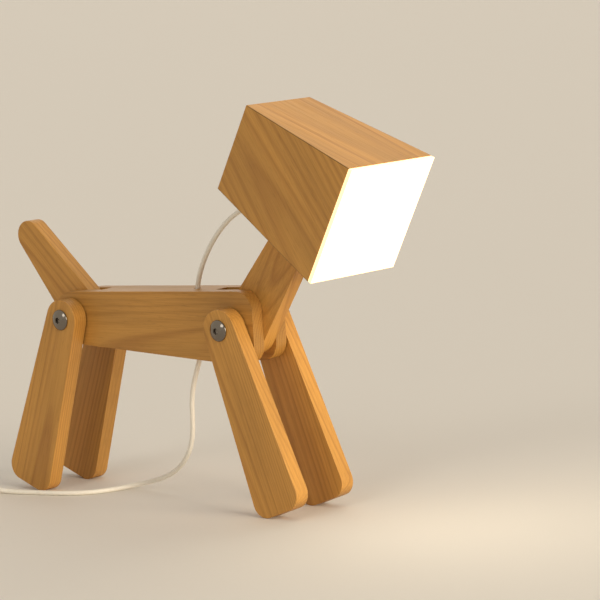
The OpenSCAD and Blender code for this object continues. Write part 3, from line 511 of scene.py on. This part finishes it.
def makeTie(shape, coil, cordRadius):
    # hook and loop tape, woven: grey, matt and slightly fuzzy
    tape = plainSurface("wovenTape", "#8b867e", "#67625b", 0.85, 0.5, depth=0.25, Sheen_Weight=0.4)
    x, y = coil["middle"]
    pitch, low, high = coil["pitch"], coil["low"], coil["low"] + coil["pitch"]
    inner = coil["radius"] - coil["turns"] * pitch
    outer = inner + (coil["turns"] - 0.75) * pitch
    # the turns at the corners of the bundle, where the band crosses them: a quarter turn from the start
    turns = [(coil["radius"] - 0.25 * pitch, low), (inner, low), (inner + 0.5 * pitch, high), (outer, high)]
    skin = cordRadius + shape["slack"]
    outline, hole = (belt([(x - reach, z, r) for reach, z in turns], 12)
                     for r in (skin + shape["thick"], skin))
    endX, top = x - outer + shape["endFrom"], high + skin + shape["thick"]
    end = [(endX + u, top + v) for u, v in shape["end"]]
    pieces = []
    for name, loops, wide in (("tieBand", [outline, hole], shape["wide"]),
                              ("tieEnd", [end], shape["endWide"])):
        edges = [[[mm(px, y + s * wide / 2, pz) for px, pz in loop] for loop in loops] for s in (-1, 1)]
        piece = bridgeSolid(name, *edges, Matrix(), shape["ease"], tape)
        pieces.append(standFor(piece, "torso", "grey_plastic", "coil_tie"))
    return pieces


# plug: a moulded grip that runs into a ringed boot, and a bent shell with the catch windows of its kind
plugShape = {
    "front": -334, "back": -312, "tip": -292, "wide": 16, "high": 9, "corner": 3, "bootD": 7.5, "tipD": 5,
    "nose": ((0, 1.4, 0.6), (0.2, 0.6, 0.3), (0.7, 0, 0)),  # from the front: smaller by, corner smaller by
    "gripAt": (-327.5, -325, -322.5, -320), "grip": (0.7, 0.35), "gripDeep": 0.35, "gripCorner": 0.2,
    # from the back: narrower by, lower by, corner
    "shoulder": ((-2.2, 0, 0, 3), (-1.1, 0.6, 0.4, 3.2), (-0.3, 2.2, 0.9, 3.5), (0.1, 5, 1.2, 3.7),
                 (0.5, 7.4, 1.4, 3.75)),
    "bootFrom": 1.2, "bootFlat": 0.01,
    "ringAt": (-308, -305, -302, -299, -296), "ring": (0.7, 0.4), "ringDeep": 0.5,
    "bootEnd": ((-0.5, 0), (-0.1, 0.4), (0, 0.9)),  # from the tip: thinner by
    "shell": (12, 4.5), "shellLong": 12, "shellWall": 0.3, "shellCorner": 0.6,
    "window": (2.2, 2), "windowAt": (4.8, 2.6),
}


def roundedSection(wide, high, r, step=7.6):  # corners in steps of degrees, the same count at any size
    w, h = wide / 2 - r, high / 2 - r
    return belt([(w, -h, r), (w, h, r), (-w, h, r), (-w, -h, r)], step)


def grooveSteps(edge, floor):  # way along, and whether the groove is cut there
    return ((-edge, 0), (-floor, 1), (floor, 1), (edge, 0))


def plugStations(shape):  # place, width, height and corner of each section
    wide, high, r = shape["wide"], shape["high"], shape["corner"]
    front, back, tip = shape["front"], shape["back"], shape["tip"]
    rows = [(front + go, wide - less, high - less, r - soft) for go, less, soft in shape["nose"]]
    for x in shape["gripAt"]:
        for go, cut in grooveSteps(*shape["grip"]):
            less = 2 * cut * shape["gripDeep"]
            rows.append((x + go, wide - less, high - less, r - cut * shape["gripCorner"]))
    rows += [(back + go, wide - narrow, high - low, corner) for go, narrow, low, corner in shape["shoulder"]]

    def boot(x, less=0):  # tapered to the tip, and round but for four flats too small to see
        d = shape["bootD"] + (shape["tipD"] - shape["bootD"]) * (x - back) / (tip - back) - less
        return (x, d, d, d / 2 - shape["bootFlat"])

    rows.append(boot(back + shape["bootFrom"]))
    for x in shape["ringAt"]:
        rows += [boot(x + go, 2 * cut * shape["ringDeep"]) for go, cut in grooveSteps(*shape["ring"])]
    return rows + [boot(tip + go, less) for go, less in shape["bootEnd"]]


def makePlugMould(shape, y):
    # PVC, moulded over the joint: cream with a soft shine and a fine grain
    mould = plainSurface("overmouldedPlug", "#f0e9d9", "#e7dec9", 0.45, 0.6, IOR=1.53)
    z = shape["high"] / 2
    bm = bmesh.new()
    loft(bm, [[bm.verts.new(mm(x, y + u, z + v)) for u, v in roundedSection(*size)]
              for x, *size in plugStations(shape)])
    return standFor(finishMesh(bm, "plugMould", mould, sharp=35), "torso", "cream_plastic", "plug_body")


def makePlugShell(shape, y):
    # steel strip, tinned and bent round: bright grey with a faint spangle
    tin = plainSurface("tinnedSteel", "#c8cacc", "#b8bbbe", 0.25, 0.5, Metallic=1.0)
    z = shape["high"] / 2
    ends = (shape["front"] - shape["shellLong"], shape["front"])
    wide, high = shape["shell"]
    along, across = (size / 2 for size in shape["window"])
    windowX = ends[0] + shape["windowAt"][0]
    bm = bmesh.new()
    skins = []
    for inset in (0, shape["shellWall"]):
        section = roundedSection(wide - 2 * inset, high - 2 * inset, shape["shellCorner"] - inset)
        rims = [[bm.verts.new(mm(x, y + u, z + v)) for u, v in section] for x in ends]
        broadSides = (len(section) // 2 - 1, len(section) - 1)  # these two have windows cut out
        windows = []
        for k in range(len(section)):
            n = (k + 1) % len(section)
            border = [rims[0][k], rims[0][n], rims[1][n], rims[1][k]]
            cuts = []
            for side in (-1, 1) if k in broadSides else ():
                windowY = y + side * shape["windowAt"][1]
                cuts.append([bm.verts.new(mm(windowX + a * along, windowY + b * across, z + section[k][1]))
                             for a, b in ((-1, -1), (1, -1), (1, 1), (-1, 1))])
            fillFace(bm, [border] + cuts)
            windows += cuts
        skins.append(rims + windows)
    for outer, inner in zip(*skins):  # both ends and round the windows
        bridgeRings(bm, outer, inner)
    joinFlat(bm)
    return standFor(finishMesh(bm, "plugShell", tin, sharp=30), "torso", "steel", "plug_shell")


def makeCords(setup):
    paths = cordPaths(setup)
    # PVC, extruded: smooth cream skin with a soft shine
    skin = plainSurface("extrudedPvc", "#f3eee2", "#eae3d3", 0.42, 3, depth=0.03, IOR=1.53)
    radius = mm(setup["diameter"] / 2)

    # from the boot to the middle of the free bow: turns from the head to the neck
    path = paths["head"]
    headCord = makeTube("headCord", path, radius, skin)
    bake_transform(headCord)
    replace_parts(headCord, "cord_upper")
    # from there through the torso, down to the table and along it to the switch
    path = paths["body"]
    bodyCord = makeTube("bodyCord", path, radius, skin)
    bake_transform(bodyCord)
    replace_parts(bodyCord, "cord_upper", "cord_lower")
    # past the switch into the coil and on to the plug
    path = paths["store"]
    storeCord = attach(makeTube("storeCord", path, radius, skin), "torso")
    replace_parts(storeCord, "cord_link", "cord_coil", "cord_end")
    tie = makeTie(tieShape, setup["coil"], setup["diameter"] / 2)
    plug = [makePlugMould(plugShape, setup["linkY"]), makePlugShell(plugShape, setup["linkY"])]
    # lead inside the head, from the boot to the driver
    standFor(makeTube("leadInside", paths["inside"], radius, skin, 12), "head", "cord", "cord_inner")
    print("cord made, metres in all:", round(sum(routeLength(p) for p in paths.values()), 3))


makeCords(cordSetup)

axleHole = (0, 0, lamp["axleBore"])
legShape = {
    "top": 14.5, "ease": 1.2,
    # heart of the tree behind one edge: close lines at the other edge, broad quiet wood beside it
    "rightFrontLeg": {"pith": (-18, -3), "skew": (0.5, -1.0, 0), "shift": 0, "tone": 1.04, "ringGap": 1.7},
    "leftFrontLeg": {"pith": (-14, 44), "skew": (-0.6, -0.8, 0), "shift": 90, "tone": 1.02, "ringGap": 2.2},
    "rightRearLeg": {"pith": (9, 4), "skew": (0.9, 1.2, 0), "shift": 210, "tone": 0.96, "ringGap": 2.2},
    "leftRearLeg": {"pith": (-20, -8), "skew": (-0.7, -1.4, 0), "shift": 330, "tone": 0.95, "ringGap": 2.4},
}


def makeLegs(shape):
    foot, lean = lamp["legCorner"], lamp["legLean"]
    corners = [(0, 0, shape["top"]), (-legSide, -legRun, foot), (legSide, -legRun, foot)]
    for end, x, turn in (("Front", lamp["frontX"], -lean), ("Rear", lamp["rearX"], lean)):
        for side, span in (("right", (-legOut, -legIn)), ("left", (legIn, legOut))):
            name = side + end + "Leg"
            node = f"{side}_{end.lower()}_leg"
            makePlank(name, node, node, corners, [axleHole], span, placeAt(x, axleZ, turn), shape["ease"],
                      sawnBoard(name + "Oak", "Z", **shape[name]))


makeLegs(legShape)

tailShape = {
    "base": 18.5, "tip": 11, "length": 78, "lean": -43, "ease": 1.2,
    "cut": {"pith": (-12, 27), "skew": (1.5, 1.2, 0), "shift": 55, "tone": 0.97},
}


def makeTail(shape):
    corners = [(0, 0, shape["base"]), (0, shape["length"], shape["tip"])]
    makePlank("tailPlank", "tail", "tail", corners, [axleHole], plankSpan,
              placeAt(lamp["rearX"], axleZ, shape["lean"]), shape["ease"],
              sawnBoard("tailOak", "Z", **shape["cut"]))


makeTail(tailShape)

neckShape = {
    "base": 19.6, "top": 13.3, "hingeBore": 6.1, "ease": 1.2,
    # sawn flat, close to the heart: broad tongues on the sides
    "cut": {"pith": (7, 10), "skew": (-7, 1.0, 0), "shift": 60, "tone": 1.03, "ringGap": 4.5},
}


def makeNeck(shape):
    x, z = lamp["neckForward"], lamp["neckLength"]
    makePlank("neckPlank", "neck", "neck", [(x, 0, shape["base"]), (x, z, shape["top"])],
              [axleHole, (x, z, shape["hingeBore"])], plankSpan, neckFrame, shape["ease"],
              sawnBoard("neckOak", "Z", **shape["cut"]))


makeNeck(neckShape)
print("planks made")

# torso: three boards glued so that their grain runs on from one to the next
torsoShape = {
    "rear": 19, "frontHeight": 51.6, "reach": 20.4, "corner": 14, "ease": 1.6,
    "coreRear": -96.5, "coreFront": 16.9, "coreEase": 0.3, "cordHole": (-6, 0, 5, 32),
    "cut": {"pith": (27, -14), "skew": (1.1, 0.9, 0), "shift": 60, "tone": 0.94},
}


def makeTorso(shape):
    wood = sawnBoard("torsoOak", "X", **shape["cut"])
    cornerX = lamp["frontX"] + shape["reach"] - shape["corner"]
    cornerZ = shape["frontHeight"] / 2 - shape["corner"]
    rear = (lamp["rearX"], 0, shape["rear"])
    upper = (cornerX, cornerZ, shape["corner"])
    corners = [rear, (cornerX, -cornerZ, shape["corner"]), upper]
    holes = [(lamp["rearX"], 0, lamp["axleBore"]), (lamp["frontX"], 0, lamp["axleBore"])]
    place = placeAt(0, axleZ, 0)
    for side, span in (("right", (-torsoHalf, -slotHalf)), ("left", (slotHalf, torsoHalf))):
        makePlank(side + "Cheek", f"torso_{side}_cheek", "torso", corners, holes, span, place,
                  shape["ease"], wood)
    # the core follows the straight edges of the cheeks, with the cord's hole down through it
    normal = touchAngle(upper, rear)
    edgeX, edgeZ = rear[0] + rear[2] * math.cos(normal), rear[2] * math.sin(normal)

    def halfHeight(x):
        return edgeZ + (x - edgeX) * math.tan(normal - math.pi / 2)

    x0, x1, y = shape["coreRear"], shape["coreFront"], slotHalf
    loops = [[(x0, -y), (x1, -y), (x1, y), (x0, y)], ringPoints(*shape["cordHole"])]
    low, high = ([[mm(px, py, s * halfHeight(px)) for px, py in loop] for loop in loops] for s in (-1, 1))
    core = bridgeSolid("torsoCore", low, high, place, shape["coreEase"], wood)
    standFor(core, "torso", "oak", "torso_core")


makeTorso(torsoShape)
print("torso made")

# head: four mitred boards, a back let in between them, and the lit plate in front
headShape = {
    "wall": 7, "ease": 0.5, "seam": 0.7, "slot": (-23, 29, 6.4), "exitHole": 8.2,
    "plate": 3, "plateStep": 0.3, "plateEase": 0.2, "glow": 9, "backGlow": 1.125,
    # quarter turns from the top towards the left, and how each board was sawn
    "boards": {
        "headTop": ("head_top_board", 0, {
            "pith": (6, -18), "skew": (5.5, -1.0, 0), "shift": 30, "tone": 0.98, "ringGap": 3.2}),
        "headLeft": ("head_left_board", 1, {
            "pith": (-20, 4), "skew": (1.0, -5.0, 0), "shift": -80, "ringGap": 3.0}),
        "headBottom": ("head_bottom_board", 2, {
            "pith": (-8, 20), "skew": (-4.5, 1.2, 0), "shift": 150, "ringGap": 2.4}),
        "headRight": ("head_right_board", 3, {
            "pith": (-4, -10), "skew": (-25, 7.0, 0), "shift": 60, "ringGap": 4.6}),
    },
    "backCut": {"pith": (-84, 8), "skew": (1.2, 2.0, 0), "shift": 90, "tone": 0.98},
}
boardEnd = headEnd - headShape["plate"]


def addUnderside(shape, outer, inner):  # slot for the neck and slanted hole for the cord, in the bottom board
    x0, x1, half = shape["slot"]
    lean = math.radians(lamp["exitLean"])
    exitX, exitZ = lamp["exitX"], -headHalf(lamp["exitX"])
    for loops, inset in ((outer, 0), (inner, shape["wall"])):
        slot = ((x0, -half), (x1, -half), (x1, half), (x0, half))
        loops.append([mm(x, y, inset - headHalf(x)) for x, y in slot])
        hole = []
        for u, v in ringPoints(0, 0, shape["exitHole"], 32):  # round along the exit, met by the board's face
            px, pz = exitX + u * math.cos(lean), exitZ - u * math.sin(lean)
            go = (inset - headHalf(px) - pz) / (math.cos(lean) + math.sin(lean) * headFlare)
            hole.append(mm(px + go * math.sin(lean), v, pz + go * math.cos(lean)))
        loops.append(hole)


def makeHeadBoards(shape):
    def faceLoop(inset, turn):  # outline of one board's outer or inner face
        spots = ((-headEnd, -1), (boardEnd, -1), (boardEnd, 1), (-headEnd, 1))
        points = [mm(x, s * (headHalf(x) - inset), headHalf(x) - inset) for x, s in spots]
        return [Matrix.Rotation(-turn * math.pi / 2, 3, "X") @ p for p in points]

    for name, (node, turn, cut) in shape["boards"].items():
        outer, inner = [faceLoop(0, turn)], [faceLoop(shape["wall"], turn)]
        if name == "headBottom":
            addUnderside(shape, outer, inner)
        wood = sawnBoard(name + "Oak", "X", seam=shape["seam"], **cut)
        standFor(bridgeSolid(name, outer, inner, headFrame, shape["ease"], wood), "head", "oak", node)


def makeHeadEnds(shape):
    def squareLoop(x, inset):
        h = headHalf(x) - inset
        return [[mm(x, y, z) for y, z in ((-h, -h), (h, -h), (h, h), (-h, h))]]

    wall, step = shape["wall"], shape["plateStep"]
    back = bridgeSolid("headBack", squareLoop(-headEnd, wall), squareLoop(wall - headEnd, wall), headFrame,
                       shape["ease"], sawnBoard("headBackOak", "Z", **shape["backCut"]))
    standFor(back, "head", "oak", "head_back_board")
    halfWidth = lamp["headFront"] / 2 - step
    plate = bridgeSolid("opalPlate", squareLoop(boardEnd, step), squareLoop(headEnd, step), headFrame,
                        shape["plateEase"], opalSheet("litAcrylic", shape["glow"], halfWidth))
    plate.data.materials.append(opalSheet("acrylicBack", shape["backGlow"], halfWidth))
    for face in plate.data.polygons:  # the side towards the lights inside is dimmer
        face.material_index = 1 if face.normal.x < -0.9 else 0
    standFor(plate, "head", "opal", "diffuser")


makeHeadBoards(headShape)
makeHeadEnds(headShape)
print("head made")

# bolts: domes with a hexagon socket, turned in one piece with their shanks
boltShape = {
    "head": 15, "high": 3.4, "rim": 0.8, "socket": 4, "deep": 1.8, "lip": 0.5, "count": 48, "sharp": 38,
    "hollow": (0.4, 0.25), "taper": 0.05,  # the socket's floor: share of its width and depth of the hollow
    "domeAt": (0.5, 0.62, 0.74, 0.85, 0.94),  # rings on the dome, in shares of its radius
    "roundAt": (0.985, 0.05), "rimRound": 0.25, "ease": 0.2, "fillet": 0.3, "chamfer": 0.4, "point": 0.3,
    "barrelD": 8, "barrelBore": 5.1, "barrelShort": 2, "boreRoom": 19, "drillPoint": 0.6,
    "screwD": 5, "screwLong": 18,
}


def boltRings(shape, angles, shankD, shankLong, boreD, boreDeep):
    # distance from the axis and height, from the socket's floor over the dome and down the shank
    edge, shank, ease = shape["head"] / 2, shankD / 2, shape["ease"]
    dome = shape["high"] - shape["rim"]
    domeR = (edge ** 2 + dome ** 2) / (2 * dome)
    floor = shape["high"] - shape["deep"]
    sixth = math.pi / 3

    def domeHigh(r):
        return shape["high"] - domeR + math.sqrt(domeR ** 2 - r * r)

    reach = [shape["socket"] / 2 / math.cos((a + sixth / 2) % sixth - sixth / 2) for a in angles]
    hollow, sunk = shape["hollow"]
    rings = [[(hollow * r, floor - sunk) for r in reach], [(r - shape["taper"], floor) for r in reach],
             [(r, domeHigh(r) - ease) for r in reach], [(r + ease, domeHigh(r + ease)) for r in reach]]
    lip = shape["socket"] / 2 / math.cos(sixth / 2) + shape["lip"]
    rows = [(r, domeHigh(r)) for r in (lip, *(edge * share for share in shape["domeAt"]))]
    share, lower = shape["roundAt"]
    rows += [(edge * share, domeHigh(edge * share) - lower), (edge, shape["rim"] - shape["rimRound"]),
             (edge, ease), (edge - ease, 0), (shank + shape["fillet"], 0), (shank, -shape["fillet"]),
             (shank, shape["chamfer"] - shankLong), (shank - shape["chamfer"], -shankLong)]
    if boreD:
        end = boreDeep - shankLong
        rows += [(boreD / 2, -shankLong), (boreD / 2, end), (shape["point"], end + shape["drillPoint"])]
    else:
        rows.append((shape["point"], -shankLong))
    return rings + [[row] * len(angles) for row in rows]


def makeBolt(name, node, matrix, material, shankD, shankLong, boreD=0, boreDeep=0):
    angles = ringAngles(boltShape["count"])
    bm = bmesh.new()
    loft(bm, [[bm.verts.new(mm(r * math.cos(a), r * math.sin(a), z)) for a, (r, z) in zip(angles, ring)]
              for ring in boltRings(boltShape, angles, shankD, shankLong, boreD, boreDeep)])
    standFor(finishMesh(bm, name, material, matrix, boltShape["sharp"]), "torso", "nickel", node)


def makeAxles(shape):
    # steel, turned and nickel plated: a clear warm grey mirror with fine turning marks; its grey is set
    # darker than bare nickel, as painted shade for dark surroundings mirrored in it
    nickel = plainSurface("nickelPlateDarkShaded", "#857e75", "#78716a", 0.1, 1.2, depth=0.015, Metallic=1.0)
    barrelLong = boltSeat + legOut - shape["barrelShort"]
    boreDeep = barrelLong - boltSeat + shape["boreRoom"]
    for name, x in (("front", lamp["frontX"]), ("rear", lamp["rearX"])):
        left, right = (Matrix.Translation(mm(x, side * boltSeat, axleZ))
                       @ Matrix.Rotation(-side * math.pi / 2, 4, "X") for side in (1, -1))
        makeBolt(name + "Barrel", name + "_axle_barrel", left, nickel, shape["barrelD"], barrelLong,
                 shape["barrelBore"], boreDeep)
        makeBolt(name + "Screw", name + "_axle_screw", right, nickel, shape["screwD"], shape["screwLong"])


makeAxles(boltShape)
print("axles made")

# what keeps its CAD shape: nodes, width of the eased edges in mm, and the finish
# with its colour, fleck, roughness and grit in mm
finishes = [
    # vulcanised fibre, pressed and punched: near black, dull and faintly flecked
    (["leg_washers"], 0, plainSurface("vulcanFibre", "#2b2521", "#3a322c", 0.7, 0.6)),
    # pine, planed and left bare: straw yellow with broad orange lines
    (["hinge_blocks", "plate_battens"], 0.4, sawnBoard("planedPine", "Z", (160, 20), wood=pine)),
    # steel, zinc plated: a cool grey that shines softly
    (["hinge_bolt", "hinge_nut", "hinge_washers", "plate_screws", "switch_screws"], 0.15,
     plainSurface("zincSteel", "#b9bcc0", "#a7abb0", 0.32, 0.7, Metallic=1.0)),
    # aluminium sheet, rolled: pale grey with a dull sheen
    (["light_plate"], 0.3, plainSurface("rolledAluminium", "#c4c6c8", "#b4b7ba", 0.38, 0.9, Metallic=1.0)),
    # solder mask, printed and baked: off-white with a slight shine
    (["light_board", "plug_tongue"], 0.1, plainSurface("whiteSolderMask", "#eceae4", "#e2e0d9", 0.4, 0.8)),
    # silicone with phosphor, poured: a wet-looking yellow
    (["light_chips"], 0.15, plainSurface("phosphorResin", "#e9c94a", "#d8b63c", 0.25, 0.5)),
    # polyethylene foam, cut from sheet: dark grey without shine, finely pitted
    (["driver_pad"], 0.2, plainSurface("closedFoam", "#57575a", "#48484b", 0.85, 0.7)),
    # solder mask on glass fibre: deep green with the weave faintly mottled through
    (["driver_board"], 0.1, plainSurface("greenSolderMask", "#1c5a34", "#17492b", 0.35, 1.4)),
    # epoxy, moulded round the chips: black with a faint grey bloom
    (["driver_components"], 0.3, plainSurface("mouldedEpoxy", "#1d1d1e", "#29292b", 0.5, 0.5)),
    # brass strip, stamped: warm yellow and fairly bright
    (["switch_contacts", "plug_contacts"], 0.05,
     plainSurface("stampedBrass", "#c9a650", "#b8943f", 0.3, 0.6, Metallic=1.0)),
    # ABS, moulded with a fine spark-eroded grain: a soft cream sheen
    (["switch_lower_shell", "switch_upper_shell"], 0.6,
     plainSurface("mouldedAbs", "#efe7d6", "#e7dec9", 0.38, 0.5, IOR=1.54)),
    # PVC, moulded round the cord: cream, a little duller than the cord
    (["cord_boot"], 0.7, plainSurface("overmouldedPvc", "#f0e9d9", "#e7dec9", 0.45, 0.6, IOR=1.53)),
    # ABS, moulded in grey: stands out from the cream case, with the same sheen
    (["switch_rocker"], 0.35, plainSurface("greyAbs", "#a9a49b", "#9f9a91", 0.36, 0.5, IOR=1.54)),
]
# points this close are joined, in mm; faces this flat are one, and edges this sharp are eased, in degrees
cadEdges = {"weld": 0.002, "flat": 0.2, "sharp": 35}


def finishNodes(rows, edges):
    for nodes, ease, material in rows:
        for obj in (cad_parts[node] for node in nodes):
            for slot in obj.material_slots:
                slot.material = material
            if ease:
                weld = obj.modifiers.new("joined", "WELD")
                weld.merge_threshold = mm(edges["weld"])
                flat = obj.modifiers.new("flatFaces", "DECIMATE")  # so that the easing runs evenly
                flat.decimate_type = "DISSOLVE"
                flat.angle_limit = math.radians(edges["flat"])
                easeEdges(obj, ease, edges["sharp"], clamp=False)


finishNodes(finishes, cadEdges)
print("CAD pieces finished")

# stage: pale floor with its radius in metres, wide soft light from in front of the dog, pale surroundings
stageSetup = {
    "floor": "#e9e3d9", "floorFleck": "#e7e1d7", "floorRadius": 30, "sky": "#dad1c1",
    "ambient": 0.4, "ambientTint": "#fff9f0",
    "lights": {
        "key": {"to": (0.93, -0.03, 0.26), "spread": 34, "power": 2.8, "colour": "#fff2de"},
        "fill": {"to": (0.1, -0.85, 0.5), "spread": 22, "power": 0.32, "colour": "#fdfaf4"},
        "back": {"to": (-0.4, 0.8, 0.45), "spread": 70, "power": 0.55, "colour": "#fffaf2"}},
}


def makeLight(name, setup):
    data = bpy.data.lights.new(name, "SUN")
    data.angle = math.radians(setup["spread"])
    data.energy = setup["power"]
    data.color = linear(setup["colour"])[:3]
    link(name, data).rotation_euler = Vector(setup["to"]).to_track_quat("Z", "Y").to_euler()


def makeFloor(setup):
    bm = bmesh.new()
    bmesh.ops.create_circle(bm, cap_ends=True, radius=setup["floorRadius"], segments=96)
    mesh = bpy.data.meshes.new("floor")
    bm.to_mesh(mesh)
    bm.free()
    # matte paper: pale and even, with a faint tooth
    mesh.materials.append(plainSurface("mattePaper", setup["floor"], setup["floorFleck"], 0.9, 1.5))
    link("floor", mesh)


def makeSurroundings(setup):  # seen and mirrored as a plain pale wall, but a weaker light on the object
    world = bpy.data.worlds.new("surroundings")
    bpy.context.scene.world = world
    world.use_nodes = True
    tree = world.node_tree
    tree.nodes.clear()
    path = addNode(tree, "LightPath")
    direct = addNode(tree, "Math", {0: path.outputs["Is Camera Ray"], 1: path.outputs["Is Glossy Ray"]},
                     operation="MAXIMUM")
    seen = addNode(tree, "Math", {0: direct, 1: path.outputs["Is Transmission Ray"]}, operation="MAXIMUM")
    lit = addNode(tree, "Background", {"Color": linear(setup["ambientTint"]), "Strength": setup["ambient"]})
    shown = addNode(tree, "Background", {"Color": linear(setup["sky"]), "Strength": 1.0})
    both = addNode(tree, "MixShader", {0: seen, 1: lit, 2: shown})
    addNode(tree, "OutputWorld", {0: both})


makeFloor(stageSetup)
makeSurroundings(stageSetup)
for lightName, lightSetup in stageSetup["lights"].items():
    makeLight(lightName, lightSetup)
bpy.context.scene.view_settings.view_transform = "Standard"
print("stage set")
